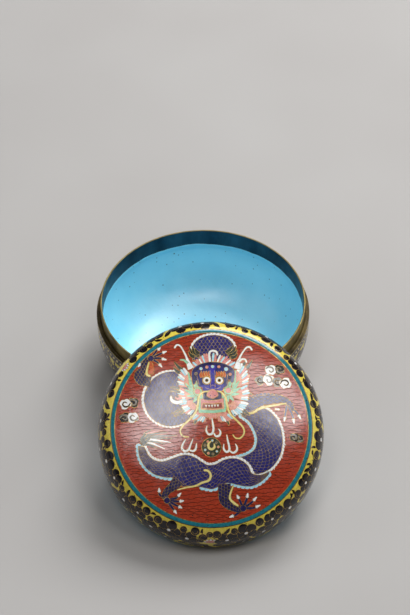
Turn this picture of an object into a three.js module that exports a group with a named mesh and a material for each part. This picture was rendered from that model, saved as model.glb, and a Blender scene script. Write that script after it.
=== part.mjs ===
// A round cloisonne enamel box with its lid off: the lid leans on the open box, its near edge on the
// table and its mouth across the box's collar. Millimetres, +Z up, the box's foot on z = 0.
// The box's own axis is x = 0, y = 0 until the last lines move the origin to the middle of the whole.
import * as THREE from "three";

// Driving dimensions.
const BOX_RADIUS = 57.5; // the widest part, the same on box and lid
const WALL = 2.2; // hammered copper with enamel on both sides
const SEGMENTS = 64; // flats around every turned piece

// The box: foot, belly and mouth.
const MOUTH_HEIGHT = 40.5; // where the lid's edge sits when the box is closed
const MOUTH_TUCK = 0.1; // how far the belly draws in again from its widest part to the mouth
const WIDEST_HEIGHT = 34;
const BELLY_CENTRE = 27; // radius at which the belly's curve would meet the bottom level
const BELLY_FULLNESS = 2.1; // 2 is an ellipse, more is squarer
const BELLY_BOTTOM = 2; // level of the belly's lowest point, above the table
const FOOT_OUTER = 37;
const FOOT_INNER = 34.6;
const RECESS = 1.6; // the underside inside the foot ring, above the table

// The metal collar that stands in the mouth and guides the lid.
const COLLAR_OUTER = 55.2;
const COLLAR_INNER = 54.2;
const COLLAR_RISE = 7.5; // above the mouth
const COLLAR_DEPTH = 2.5; // below the mouth, against the wall
const SEAT_OUTER = 56.6; // the narrow ledge under the lid's edge
const SEAT_THICKNESS = 0.7;
const EDGE_ROUND = 0.3; // bevel on the metal edges

// The lid: a shallow dome inside a ring line, then a full shoulder down to a metal edge band.
const LID_RING = 49.5; // radius of the line between dome and shoulder
const LID_RING_HEIGHT = 22.5;
const DOME_RISE = 4.6;
const LID_WIDEST_HEIGHT = 2.6;
const SHOULDER_CENTRE = 45; // radius from which the shoulder's curve is drawn
const SHOULDER_FULLNESS = 2.6;
const LID_MOUTH = 55.6; // inner radius, a slip fit over the collar
const LID_BAND_OUTER = 57.3;
const LID_BAND_HEIGHT = 1.9;

// How the lid leans.
const LEAN = THREE.MathUtils.degToRad(29.3); // its mouth plane against the table
const TURN = THREE.MathUtils.degToRad(2.4); // round the box's axis, to the right of straight in front
const GAP = 0.3; // between the lid and the collar that it leans on

// Colours and finishes.
const finish = (color, roughness, metalness) =>
  new THREE.MeshStandardMaterial({ color, roughness, metalness });
const boxEnamel = finish(0x8cc9e0, 0.25, 0);
const lidEnamel = finish(0xa8331f, 0.25, 0);
const collarMetal = finish(0x7a6636, 0.4, 1);
const bandMetal = finish(0x8a7440, 0.4, 1);

// A quarter of a superellipse round (cr, cz), in steps from share 0, on its side at radius
// cr + a, to share 1, above or below the centre at height cz + b.
function quarterCurve({ cr, cz, a, b, fullness, from = 0, to = 1, steps }) {
  const points = [];
  for (let i = 0; i <= steps; i++) {
    const angle = (Math.PI / 2) * (from + ((to - from) * i) / steps);
    points.push([
      cr + a * Math.cos(angle) ** (2 / fullness),
      cz + b * Math.sin(angle) ** (2 / fullness),
    ]);
  }
  return points;
}

// The share of a quarter curve at which it has come in to a given radius.
const shareAtRadius = (radius, cr, a, fullness) =>
  (Math.acos(((radius - cr) / a) ** (fullness / 2)) * 2) / Math.PI;

// A closed body turned round +Z from [radius, height] points, listed up the outside and down the inside.
function turned(name, profile, material) {
  const onAxis = profile[0][0] === 0;
  const outline = onAxis ? profile : [...profile, profile[0]];
  const points = outline.map(([radius, height]) => new THREE.Vector2(radius, height));
  const geometry = new THREE.LatheGeometry(points, SEGMENTS);
  geometry.rotateX(Math.PI / 2);
  const mesh = new THREE.Mesh(geometry, material);
  mesh.name = name;
  return mesh;
}

// The box's wall at a given depth below its outer face, from the underside up to the mouth.
function bellyCurve(inset, lowestRadius, mouthRadius) {
  const a = BOX_RADIUS - BELLY_CENTRE - inset;
  const b = WIDEST_HEIGHT - BELLY_BOTTOM - inset;
  const curve = { cr: BELLY_CENTRE, cz: WIDEST_HEIGHT, a, b: -b, fullness: BELLY_FULLNESS };
  const share = shareAtRadius(lowestRadius, BELLY_CENTRE, a, BELLY_FULLNESS);
  const rising = quarterCurve({ ...curve, from: 0, to: share, steps: 9 }).reverse();
  const tucked = [mouthRadius + (BOX_RADIUS - inset - mouthRadius) * 0.6, (WIDEST_HEIGHT + MOUTH_HEIGHT) / 2];
  return [...rising, tucked, [mouthRadius, MOUTH_HEIGHT]];
}

function box() {
  const outside = bellyCurve(0, FOOT_OUTER, BOX_RADIUS - MOUTH_TUCK);
  const inside = bellyCurve(WALL, BELLY_CENTRE, COLLAR_OUTER).reverse();
  const floor = BELLY_BOTTOM + WALL;
  return turned(
    "box_bowl",
    [
      [0, RECESS],
      [FOOT_INNER, RECESS],
      [FOOT_INNER, 0],
      [FOOT_OUTER, 0],
      ...outside,
      ...inside,
      [0, floor],
    ],
    boxEnamel,
  );
}

function collar() {
  const top = MOUTH_HEIGHT + COLLAR_RISE;
  return turned(
    "box_collar",
    [
      [COLLAR_OUTER, MOUTH_HEIGHT - COLLAR_DEPTH],
      [COLLAR_OUTER, MOUTH_HEIGHT],
      [SEAT_OUTER, MOUTH_HEIGHT],
      [SEAT_OUTER, MOUTH_HEIGHT + SEAT_THICKNESS],
      [COLLAR_OUTER, MOUTH_HEIGHT + SEAT_THICKNESS],
      [COLLAR_OUTER, top - EDGE_ROUND],
      [COLLAR_OUTER - EDGE_ROUND, top],
      [COLLAR_INNER + EDGE_ROUND, top],
      [COLLAR_INNER, top - EDGE_ROUND],
      [COLLAR_INNER, MOUTH_HEIGHT - COLLAR_DEPTH],
    ],
    collarMetal,
  );
}

// The lid's wall at a given depth below its outer face, from its edge up to the crown.
function lidCurve(inset, edgeRadius) {
  const ringRise = LID_RING_HEIGHT - LID_WIDEST_HEIGHT;
  const width = BOX_RADIUS - SHOULDER_CENTRE;
  const atRing = ((LID_RING - SHOULDER_CENTRE) / width) ** SHOULDER_FULLNESS;
  const height = ringRise / (1 - atRing) ** (1 / SHOULDER_FULLNESS);
  const a = width - inset;
  const share = shareAtRadius(LID_RING - inset / 2, SHOULDER_CENTRE, a, SHOULDER_FULLNESS);
  const shoulder = quarterCurve({
    cr: SHOULDER_CENTRE,
    cz: LID_WIDEST_HEIGHT,
    a,
    b: height - inset,
    fullness: SHOULDER_FULLNESS,
    to: share,
    steps: 9,
  });
  const [ringRadius, ringHeight] = shoulder[shoulder.length - 1];
  const domeSteps = 6;
  const dome = Array.from({ length: domeSteps }, (_, i) => {
    const radius = ringRadius * (1 - (i + 1) / domeSteps);
    return [radius, ringHeight + DOME_RISE * (1 - (radius / ringRadius) ** 2)];
  });
  return [[edgeRadius, LID_BAND_HEIGHT], ...shoulder, ...dome];
}

function lidShell() {
  const outside = lidCurve(0, BOX_RADIUS);
  const inside = lidCurve(WALL, LID_MOUTH).reverse();
  return turned("lid_shell", [...inside, ...outside], lidEnamel);
}

function lidBand() {
  return turned(
    "lid_band",
    [
      [LID_MOUTH, 0],
      [LID_BAND_OUTER - EDGE_ROUND, 0],
      [LID_BAND_OUTER, EDGE_ROUND],
      [LID_BAND_OUTER, LID_BAND_HEIGHT],
      [LID_MOUTH, LID_BAND_HEIGHT],
    ],
    bandMetal,
  );
}

// The lid's mouth plane crosses the collar's top at two points, the same distance left and right.
// Up its slope from the lid's middle it is there as high as the collar, which gives the way out.
function leaningLid() {
  const middleHeight = (LID_BAND_OUTER - EDGE_ROUND) * Math.sin(LEAN);
  const contactHeight = MOUTH_HEIGHT + COLLAR_RISE + GAP;
  const upSlope = (contactHeight - middleHeight) / Math.sin(LEAN);
  const halfSpan = Math.sqrt(LID_MOUTH ** 2 - upSlope ** 2);
  const contactReach = Math.sqrt((COLLAR_OUTER + GAP) ** 2 - halfSpan ** 2);
  const lid = new THREE.Group();
  lid.add(lidShell(), lidBand());
  lid.rotation.x = LEAN;
  lid.position.set(0, -(contactReach + upSlope * Math.cos(LEAN)), middleHeight);
  const turn = new THREE.Group();
  turn.rotation.z = TURN;
  turn.add(lid);
  return turn;
}

const part = new THREE.Group();
part.add(box(), collar(), leaningLid());

// The origin goes to the middle of the footprint.
const extent = new THREE.Box3().setFromObject(part, true);
const middle = extent.getCenter(new THREE.Vector3());
part.children.forEach((child) => child.position.sub(new THREE.Vector3(middle.x, middle.y, 0)));

export default part;
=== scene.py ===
# %% [markdown]
# A round box in cloisonne enamel stands open, and its lid leans on it. The box and the lid are bowls of
# hammered copper. Thin brass wires are bent into a picture on them, the cells between the wires are
# filled with coloured glass, and all of it is fired and polished flush.
# The solids are already right in size and place, so this script keeps them as its frame and dresses them.

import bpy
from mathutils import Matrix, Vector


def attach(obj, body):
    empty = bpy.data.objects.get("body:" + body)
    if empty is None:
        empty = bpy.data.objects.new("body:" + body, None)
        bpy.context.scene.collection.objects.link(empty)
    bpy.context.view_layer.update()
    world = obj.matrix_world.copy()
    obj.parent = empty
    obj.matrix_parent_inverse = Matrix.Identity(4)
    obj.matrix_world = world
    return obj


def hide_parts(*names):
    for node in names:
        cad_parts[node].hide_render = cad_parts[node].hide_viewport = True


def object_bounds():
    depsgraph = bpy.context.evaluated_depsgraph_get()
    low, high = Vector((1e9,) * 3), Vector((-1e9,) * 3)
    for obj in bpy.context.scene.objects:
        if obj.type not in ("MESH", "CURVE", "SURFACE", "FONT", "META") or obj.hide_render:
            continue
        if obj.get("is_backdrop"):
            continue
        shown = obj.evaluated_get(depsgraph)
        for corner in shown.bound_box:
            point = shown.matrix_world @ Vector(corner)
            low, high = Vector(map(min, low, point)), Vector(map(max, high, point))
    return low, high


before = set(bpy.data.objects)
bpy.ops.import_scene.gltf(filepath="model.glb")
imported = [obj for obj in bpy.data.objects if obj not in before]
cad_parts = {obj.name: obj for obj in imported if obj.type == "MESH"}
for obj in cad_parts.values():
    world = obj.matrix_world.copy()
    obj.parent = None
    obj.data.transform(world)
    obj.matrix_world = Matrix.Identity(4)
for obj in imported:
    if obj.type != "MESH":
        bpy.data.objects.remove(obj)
solids_box = [list(corner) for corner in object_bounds()]
print("the solids reach from", solids_box[0], "to", solids_box[1])

# %% What the script works with
import math
import random

import bpy
import numpy as np
from mathutils import Matrix, Vector
from mathutils.geometry import delaunay_2d_cdt

MM = 0.001  # the sizes below are in millimetres, as on a maker's drawing
ROOT = "root"  # the one body, because nothing here is jointed
random.seed(7)

# %% [markdown]
# The lid is turned about its own axis, and so is the box. Each gets a frame of its own whose +Z is that
# axis, so that a curve can be written as radius and height. The frames could be typed in as numbers, but
# measuring them on the solids keeps the two in step: a turned ring's points lie evenly round its axis,
# so their mean is on it.

# %% The frames of the box and of the lid
LEAN = math.radians(29.3)  # the lid's mouth against the table
TURN = math.radians(2.4)  # the lid's way round the box
LID_TURN = Matrix.Rotation(TURN, 4, "Z") @ Matrix.Rotation(LEAN, 4, "X")


def ring_frame(node, rotation):
    """The frame at the lowest end of a turned node's axis."""
    points = [vertex.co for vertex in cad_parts[node].data.vertices]
    middle = sum(points, Vector()) / len(points)
    up = rotation.to_3x3() @ Vector((0, 0, 1))
    lowest = min((point - middle).dot(up) for point in points)
    return Matrix.Translation(middle + up * lowest) @ rotation


BOX_FRAME = ring_frame("box_bowl", Matrix())
LID_FRAME = ring_frame("lid_band", LID_TURN)
print("box axis", BOX_FRAME.translation[:], "lid mouth", LID_FRAME.translation[:])

# %% [markdown]
# The outlines of box and lid are quarters of a superellipse, which is an ellipse with a bit more
# shoulder. They are the curves that the solids were turned from. The solids have 64 flats, and the
# smooth skins are turned just inside them, so that nothing grows out of its measured box.

# %% Driving dimensions
INSIDE_FLATS = math.cos(math.pi / 64)
BOX_RADIUS = 57.5  # of the solids, at the widest part of box and lid
RADIUS = BOX_RADIUS * INSIDE_FLATS
WALL = 2.2
ENAMEL = 1.1  # how deep the outer layer goes; the lining takes the rest of the wall

MOUTH_HEIGHT = 40.5
MOUTH_TUCK = 0.1
WIDEST_HEIGHT = 34
BELLY_CENTRE = 27
BELLY_FULLNESS = 2.1
BELLY_BOTTOM = 2
FOOT_OUTER = 37
FOOT_INNER = 34.6
RECESS = 1.6

COLLAR_OUTER = 55.2
COLLAR_INNER = 54.2
COLLAR_TOP = MOUTH_HEIGHT + 7.5
COLLAR_BOTTOM = MOUTH_HEIGHT - 2.5
SEAT_OUTER = 56.6
SEAT_THICKNESS = 0.7

LID_RING = 49.5
LID_RING_HEIGHT = 22.5
DOME_RISE = 4.6
LID_WIDEST_HEIGHT = 2.6
SHOULDER_CENTRE = 45
SHOULDER_FULLNESS = 2.6
LID_MOUTH = 55.6
BAND_OUTER = 57.3
BAND_HEIGHT = 1.9


# %% Curves that the shells are turned from
def quarter(cr, cz, a, b, fullness, start, stop, steps):
    """Points on a quarter superellipse, from the share start (0 is the side) to stop (1 is the top)."""
    angles = np.linspace(start, stop, steps + 1) * math.pi / 2
    return [(cr + a * math.cos(t) ** (2 / fullness), cz + b * math.sin(t) ** (2 / fullness)) for t in angles]


def share_at(radius, cr, a, fullness):
    """The share of the quarter at which its curve has come in to a radius."""
    return math.acos(((radius - cr) / a) ** (fullness / 2)) * 2 / math.pi


def lid_outline(inset):
    """The lid's wall at a depth below its outer face, from the crown out and down to the edge."""
    width = BOX_RADIUS - SHOULDER_CENTRE
    at_ring = ((LID_RING - SHOULDER_CENTRE) / width) ** SHOULDER_FULLNESS
    height = (LID_RING_HEIGHT - LID_WIDEST_HEIGHT) / (1 - at_ring) ** (1 / SHOULDER_FULLNESS)
    a = width - inset
    share = share_at(LID_RING - inset / 2, SHOULDER_CENTRE, a, SHOULDER_FULLNESS)
    shoulder = quarter(SHOULDER_CENTRE, LID_WIDEST_HEIGHT, a, height - inset, SHOULDER_FULLNESS, share, 0, 60)
    ring_radius, ring_height = shoulder[0]
    dome = [(r, ring_height + DOME_RISE * (1 - (r / ring_radius) ** 2))
            for r in np.linspace(0, ring_radius, 61)[:-1]]
    outline = dome + shoulder + [(shoulder[-1][0], BAND_HEIGHT)]
    return [(r * INSIDE_FLATS, z) for r, z in outline]


def belly_outline(inset, lowest, mouth):
    """The box's wall at a depth below its outer face, from a lowest radius up to the mouth."""
    a = BOX_RADIUS - BELLY_CENTRE - inset
    b = WIDEST_HEIGHT - BELLY_BOTTOM - inset
    share = share_at(lowest, BELLY_CENTRE, a, BELLY_FULLNESS)
    rising = quarter(BELLY_CENTRE, WIDEST_HEIGHT, a, -b, BELLY_FULLNESS, share, 0, 60)
    outline = rising + [(mouth, MOUTH_HEIGHT)]
    return [(r * INSIDE_FLATS, z) for r, z in outline]


class Profile:
    """A curve of radius and height that starts on the axis, measured by the length along it."""

    def __init__(self, outline, outside):
        points = np.array(outline, float)
        steps = np.linalg.norm(np.diff(points, axis=0), axis=1)
        keep = np.r_[True, steps > 1e-9]
        points, steps = points[keep], steps[steps > 1e-9]
        self.lengths = np.r_[0, np.cumsum(steps)]
        self.points = points
        slopes = np.gradient(points, self.lengths, axis=0)
        self.normals = outside * np.c_[-slopes[:, 1], slopes[:, 0]]
        self.outside = outside

    @property
    def length(self):
        return self.lengths[-1]

    def at(self, s):
        return [np.interp(s, self.lengths, column) for column in self.points.T]

    def normal_at(self, s):
        n = [np.interp(s, self.lengths, column) for column in self.normals.T]
        return n / np.hypot(*n)

    def length_at_radius(self, radius):
        return float(np.interp(radius, self.points[:, 0], self.lengths))


lid_profile = Profile(lid_outline(0), 1)
box_profile = Profile([(0, RECESS), (FOOT_INNER, RECESS)]
                      + belly_outline(0, FOOT_OUTER, BOX_RADIUS - MOUTH_TUCK), -1)
print(f"lid skin {lid_profile.length:.1f} mm from crown to edge, box skin {box_profile.length:.1f} mm")

# %% [markdown]
# A finish has to do more than give a colour. Fired enamel is glass: its colour clouds a little from
# grain to grain, its polish is uneven, and burst bubbles leave pinholes. An image could show that, but
# nodes make it at any scale. One function makes every enamel, from a full tone and a deep tone.


# %% Enamels
def rgb(code):
    """A colour for Blender from its usual six-figure code."""
    parts = [int(code[i:i + 2], 16) / 255 for i in (0, 2, 4)]
    return tuple(c / 12.92 if c <= 0.04045 else ((c + 0.055) / 1.055) ** 2.4 for c in parts) + (1,)


def new_material(name):
    material = bpy.data.materials.new(name)
    material.use_nodes = True
    nodes, links = material.node_tree.nodes, material.node_tree.links
    return material, nodes, links, nodes["Principled BSDF"]


def noise(nodes, links, scale, detail=3.0, rough=0.55, stretch=None):
    """Noise in the piece's own coordinates. The scale is in grains a metre."""
    place = nodes.new("ShaderNodeTexCoord").outputs["Object"]
    if stretch:
        mapping = nodes.new("ShaderNodeMapping")
        mapping.inputs["Scale"].default_value = stretch
        links.new(place, mapping.inputs["Vector"])
        place = mapping.outputs["Vector"]
    texture = nodes.new("ShaderNodeTexNoise")
    texture.inputs["Scale"].default_value = scale
    texture.inputs["Detail"].default_value = detail
    texture.inputs["Roughness"].default_value = rough
    links.new(place, texture.inputs["Vector"])
    return texture.outputs["Fac"]


def ramp(nodes, links, value, *stops):
    """A colour ramp from (position, colour) stops."""
    node = nodes.new("ShaderNodeValToRGB")
    while len(node.color_ramp.elements) < len(stops):
        node.color_ramp.elements.new(0.5)
    for element, (position, colour) in zip(node.color_ramp.elements, stops):
        element.position, element.color = position, colour
    links.new(value, node.inputs["Fac"])
    return node.outputs["Color"]


def spread(nodes, links, value, low, high, start=0.3, stop=0.7):
    """The value's middle part, spread from low to high."""
    node = nodes.new("ShaderNodeMapRange")
    node.inputs["From Min"].default_value, node.inputs["From Max"].default_value = start, stop
    node.inputs["To Min"].default_value, node.inputs["To Max"].default_value = low, high
    links.new(value, node.inputs["Value"])
    return node.outputs["Result"]


def pinholes(nodes, links, colour, scale, size, dark):
    """The colour with burst bubbles in it: dark specks, each where a cell of a mosaic has its middle."""
    cells = nodes.new("ShaderNodeTexVoronoi")
    cells.inputs["Scale"].default_value = scale
    cells.inputs["Randomness"].default_value = 1.0
    links.new(nodes.new("ShaderNodeTexCoord").outputs["Object"], cells.inputs["Vector"])
    here = spread(nodes, links, cells.outputs["Distance"], 1, 0, size * 0.6, size)
    some = nodes.new("ShaderNodeSeparateColor")
    links.new(cells.outputs["Color"], some.inputs["Color"])
    chosen = nodes.new("ShaderNodeMath")
    chosen.operation = "GREATER_THAN"
    chosen.inputs[1].default_value = 0.6
    links.new(some.outputs["Red"], chosen.inputs[0])
    both = nodes.new("ShaderNodeMath")
    both.operation = "MULTIPLY"
    links.new(here, both.inputs[0])
    links.new(chosen.outputs[0], both.inputs[1])
    mix = nodes.new("ShaderNodeMix")
    mix.data_type = "RGBA"
    mix.inputs["B"].default_value = dark
    links.new(both.outputs[0], mix.inputs["Factor"])
    links.new(colour, mix.inputs["A"])
    return mix.outputs["Result"]


def bump(nodes, links, shader, height, distance):
    node = nodes.new("ShaderNodeBump")
    node.inputs["Distance"].default_value = distance
    links.new(height, node.inputs["Height"])
    links.new(node.outputs["Normal"], shader.inputs["Normal"])


def enamel(name, full, deep, grain=900, gloss=(0.10, 0.22), glaze=1.7):
    material, nodes, links, shader = new_material(name)
    cloud = noise(nodes, links, grain, 5, 0.65)
    colour = ramp(nodes, links, cloud, (0.34, rgb(deep)), (0.62, rgb(full)))
    colour = pinholes(nodes, links, colour, 420, 0.16, rgb("2a211c"))
    links.new(colour, shader.inputs["Base Color"])
    links.new(spread(nodes, links, noise(nodes, links, 260), *gloss), shader.inputs["Roughness"])
    shader.inputs["IOR"].default_value = glaze
    bump(nodes, links, shader, noise(nodes, links, 330, 2), 0.00004)
    return material


def lining_enamel(name):
    material, nodes, links, shader = new_material(name)
    cloud = noise(nodes, links, 45, 5, 0.6)
    colour = ramp(nodes, links, cloud, (0.3, rgb("88daf2")), (0.7, rgb("9ae4f9")))
    colour = pinholes(nodes, links, colour, 330, 0.15, rgb("4f7f92"))
    colour = pinholes(nodes, links, colour, 130, 0.07, rgb("31424a"))
    links.new(colour, shader.inputs["Base Color"])
    links.new(spread(nodes, links, noise(nodes, links, 90), 0.34, 0.48), shader.inputs["Roughness"])
    shader.inputs["IOR"].default_value = 2.0
    bump(nodes, links, shader, noise(nodes, links, 110, 3), 0.0003)
    return material


ENAMELS = {
    "brick red": enamel("brick_red_enamel", "a8391d", "8c2a14"),
    "teal": enamel("teal_enamel", "1b7b88", "115f6c"),
    "yellow": enamel("yellow_enamel", "e2cf54", "c6b240", glaze=1.5),
    "black": enamel("aubergine_black_enamel", "1d161b", "0b080b", glaze=1.42),
    "white": enamel("white_enamel", "eff0ee", "d3d5d6"),
    "pale blue": enamel("pale_blue_enamel", "b4dce8", "8fc4d6"),
    "scale blue": enamel("scale_blue_enamel", "28297a", "181645", grain=1200),
    "violet": enamel("violet_enamel", "3d37ae", "28236f"),
    "navy": enamel("navy_enamel", "26225a", "14122f"),
    "pink": enamel("pink_enamel", "dc918c", "c26f6b"),
    "mint": enamel("mint_enamel", "97cfae", "6fae8c"),
    "orange": enamel("orange_enamel", "c8602f", "a4441f"),
    "grey": enamel("grey_enamel", "77736d", "4a4744"),
    "straw": enamel("straw_enamel", "e6d990", "cdbb68"),
    "moss": enamel("moss_enamel", "3b4133", "20251d"),
    "lip red": enamel("lip_red_enamel", "8f2a26", "6e1a18"),
    "underside": lining_enamel("sky_blue_enamel"),
}
print(len(ENAMELS), "enamels")


# %% Brass
# The second tone is tarnish, except for the wave wires and the collar's inside, whose two tones are painted
# shade and painted reflection.
def brass(name, bright, tarnish_and_shade, gloss, grain, stretch=None, dents=0.00003, metal=1.0):
    material, nodes, links, shader = new_material(name)
    patches = noise(nodes, links, grain, 6, 0.6, stretch)
    links.new(ramp(nodes, links, patches, (0.35, rgb(tarnish_and_shade)), (0.65, rgb(bright))),
              shader.inputs["Base Color"])
    links.new(spread(nodes, links, noise(nodes, links, grain * 1.7, 4), *gloss), shader.inputs["Roughness"])
    shader.inputs["Metallic"].default_value = metal
    bump(nodes, links, shader, noise(nodes, links, grain * 2, 3, 0.5, stretch), dents)
    return material


wire_brass = brass("wire_brass", "c9a65c", "6d5428", (0.25, 0.45), 500)
collar_brass = brass("collar_brass", "8a7b46", "544922", (0.42, 0.6), 120, (1, 1, 0.35), metal=0.6)
# The collar's inside is painted dark teal: a painted reflection of the blue lining, in painted shade.
collar_inside = brass("collar_inside_painted_reflection", "2c4a58", "18303c", (0.3, 0.45), 90, (1, 1, 0.35))
seat_brass = brass("seat_brass", "5c4f2e", "30281a", (0.55, 0.7), 140, metal=0.75)
band_brass = brass("band_brass", "7d6738", "4c3b20", (0.4, 0.58), 160)
ENAMELS["wire"] = wire_brass
ENAMELS["edge"] = seat_brass
ENAMELS["scale wire"] = brass("scale_wire_brass", "97804c", "4f4026", (0.3, 0.5), 500)
# The wave wires are painted dark brown: a painted reflection of dark surroundings, standing in for shade on
# their brass.
ENAMELS["wave wire"] = brass("wave_wire_painted_shade", "4a2a1c", "24140f", (0.35, 0.5), 500)

# %% [markdown]
# The picture is drawn flat, in millimetres, as the enameller lays out wires. A place on it is a complex
# number, x + yj, because turning and moving are then plain multiplying and adding. Later shapes cover
# earlier ones, and each cell is first laid a wire's width too large in brass and then filled.
# It could be painted, but cells cut into the skin stay sharp however close one looks.

# %% Lines and outlines
WIRE = 0.22  # thickness of a wire
SPINE = 2.0  # how far a spine stands out of the frills


def toward(angle):
    """The direction of an angle, as a place one millimetre from the middle."""
    return complex(math.cos(angle), math.sin(angle))


def smooth(points, closed=False, step=0.8):
    """A smooth line through a few points."""
    count = len(points)

    def at(i):
        return points[i % count] if closed else points[min(max(i, 0), count - 1)]

    line = []
    for i in range(count if closed else count - 1):
        a, b, c, d = at(i - 1), at(i), at(i + 1), at(i + 2)
        steps = max(1, math.ceil(abs(c - b) / step))
        for k in range(steps):
            t = k / steps
            line.append((2 * b + (c - a) * t + (2 * a - 5 * b + 4 * c - d) * t ** 2
                         + (3 * b - a - 3 * c + d) * t ** 3) / 2)
    return line if closed else line + [points[-1]]


def stroke(line, widths, point=0.0):
    """A brushed line's outline, from its widths along the line and how far its end comes to a point."""
    left, right = [], []
    for i, place in enumerate(line):
        heading = line[min(i + 1, len(line) - 1)] - line[max(i - 1, 0)]
        heading /= abs(heading)
        width = max(float(np.interp(i / (len(line) - 1), np.linspace(0, 1, len(widths)), widths)), 0.06)
        left.append(place + 0.5j * heading * width)
        right.append(place - 0.5j * heading * width)
    tip = [line[-1] + heading * widths[-1] * point] if point else []
    return left + tip + right[::-1]


def grown(outline, margin):
    """The outline moved outwards by a margin, with its sharp corners held back."""
    count = len(outline)
    area = sum((outline[i - 1].conjugate() * outline[i]).imag for i in range(count))
    outwards = -1j if area > 0 else 1j
    moved = []
    for i, point in enumerate(outline):
        before, after = point - outline[i - 1], outline[(i + 1) % count] - point
        before, after = before / (abs(before) or 1), after / (abs(after) or 1)
        middle = before + after
        if abs(middle) < 0.2:
            middle = before or after
        middle /= abs(middle) or 1
        reach = margin / max((middle * before.conjugate()).real, 0.6)
        moved.append(point + outwards * middle * reach)
    return moved


def arc(centre, radius, start=0.0, stop=360.0, steps=None, flat=1.0):
    """Points round a centre, from one angle to another; flat squeezes it across."""
    steps = steps or max(6, math.ceil(abs(stop - start) / 360 * 2 * math.pi * radius / 0.5))
    full = abs(stop - start) == 360
    angles = [math.radians(start + (stop - start) * i / steps) for i in range(steps if full else steps + 1)]
    return [centre + radius * complex(math.cos(t), flat * math.sin(t)) for t in angles]


def along(line, share):
    """The place at a share of the way along a line."""
    here = share * (len(line) - 1)
    return complex(np.interp(here, range(len(line)), line))


def spaced(line, pitch):
    """Places at an even pitch along a line, each with the direction there."""
    gaps = [abs(b - a) for a, b in zip(line, line[1:])]
    reach = np.r_[0, np.cumsum(gaps)]
    count = max(1, round(reach[-1] / pitch))
    for k in range(count + 1):
        s = reach[-1] * k / count
        i = min(int(np.searchsorted(reach, s, side="right")) - 1, len(gaps) - 1)
        way = (line[i + 1] - line[i]) / gaps[i]
        yield line[i] + way * (s - reach[i]), way


# %% The design that shapes are added to
def anticlockwise(outline):
    """The outline from its leftmost point on, the way round that keeps its inside on the left."""
    first = min(range(len(outline)), key=lambda i: (outline[i].real, outline[i].imag))
    outline = outline[first:] + outline[:first]
    into, out = outline[0] - outline[-1], outline[1] - outline[0]
    return outline if (into.conjugate() * out).imag >= 0 else outline[:1] + outline[:0:-1]


def inside(outline, points):
    """Which of the points lie inside the outline."""
    starts, places = np.array(outline), np.array(points)[:, None]
    ends = np.roll(starts, -1)
    rise = np.where(ends.imag == starts.imag, 1, ends.imag - starts.imag)
    crossed = (starts.imag > places.imag) != (ends.imag > places.imag)
    where = starts.real + (ends.real - starts.real) * (places.imag - starts.imag) / rise
    return (crossed & (places.real < where)).sum(axis=1) % 2 == 1


class Design:
    """Flat cells in the order that they are laid. place moves them to where they belong on the skin."""

    def __init__(self, nearest, furthest):
        self.nearest, self.furthest = nearest, furthest  # how close to and how far from the middle it goes
        self.outlines, self.fillings, self.clips = [], [], []
        self.place = lambda point: point

    def lay(self, outline, filling, clip=None):
        flat = [self.place(p) for p in outline]
        flat = [p * min(max(abs(p), self.nearest), self.furthest) / (abs(p) or 1) for p in flat]
        self.outlines.append(anticlockwise(flat))
        self.fillings.append(filling)
        self.clips.append(clip)
        return len(self.outlines) - 1

    def cell(self, outline, filling, wire=WIRE):
        """A filled cell in its wire."""
        self.lay(grown(outline, wire), "wire")
        return self.lay(outline, filling)

    def line(self, points, width, clip=None):
        """A bare wire."""
        self.lay(stroke(smooth(points), [width, width]), "wire", clip)

    def lock(self, points, widths, filling, point=0.5, wire=0.16):
        """A cell along a curve, such as a lock of hair, a claw or a whisker."""
        return self.cell(stroke(smooth(points), widths, point), filling, wire)

    def scallops(self, line, pitch, radius, filling, spine_every=0):
        """Round frills whose middles are on a line. A shape laid on top hides their inner half."""
        for k, (point, way) in enumerate(spaced(line, pitch)):
            self.cell(arc(point, radius * 1.15, steps=9), filling, wire=0.1)
            if spine_every and k % spine_every == spine_every - 1:
                out = way * 1j
                thorn = [point - way * 0.6, point + out * SPINE + way * 0.6, point + way * 0.6]
                self.cell(thorn, filling, wire=0.1)

    def scales(self, place, length, width, pitch, clip):
        """Wires of overlapping fish scales, half a scale apart from row to row."""
        rows, across = max(1, round(length / pitch / 0.8)), max(1, round(width / pitch))
        for i in range(rows + 1):
            for j in range(-1, across + 1):
                v = (j + 0.5 * (i % 2)) / across
                middle = place(i / rows, v)
                side = place(i / rows, v + 0.5 / across) - middle
                ahead = (place((i + 1) / rows, v) - middle) * 1.08
                turns = np.linspace(0, math.pi, 6)
                bow = [middle + side * math.cos(t) + ahead * math.sin(t) ** 0.7 for t in turns]
                if inside(self.outlines[clip], bow).any():
                    self.lay(stroke(bow, [WIRE * 0.75] * 2), "scale wire", clip)


# %% [markdown]
# The dragon looks straight out of the lid, as on many such boxes. Its body comes out from behind its
# head in coils: a hump above, a disc on the left, and a long S on the right that turns into the lower
# body and the tail. Everything is laid from back to front.

# %% The ground and its waves
PICTURE = 48.3  # radius of the red ground
RING_WIDTH = 1.8  # the teal ring round it
RING_WIRE = 0.35

lid_design = Design(0, PICTURE + RING_WIDTH + 2 * RING_WIRE)
for reach, filling in ((RING_WIDTH + 2 * RING_WIRE, "scale wire"), (RING_WIDTH + RING_WIRE, "teal"),
                       (RING_WIRE, "wire")):
    lid_design.lay(arc(0, PICTURE + reach, steps=360), filling)
GROUND = lid_design.lay(arc(0, PICTURE, steps=360), "brick red")
WAVE_PITCH = 1.65
WAVE_STEPS = 4  # a wave wire is bent from short pieces that touch


def wave(x, row):
    """The height of a wave wire: low arches that lean on the row below."""
    return 0.75 * abs(math.sin(x * 0.56 + row * 1.7)) + 0.6 * math.sin(x * 0.13 + row * 0.8)


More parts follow.
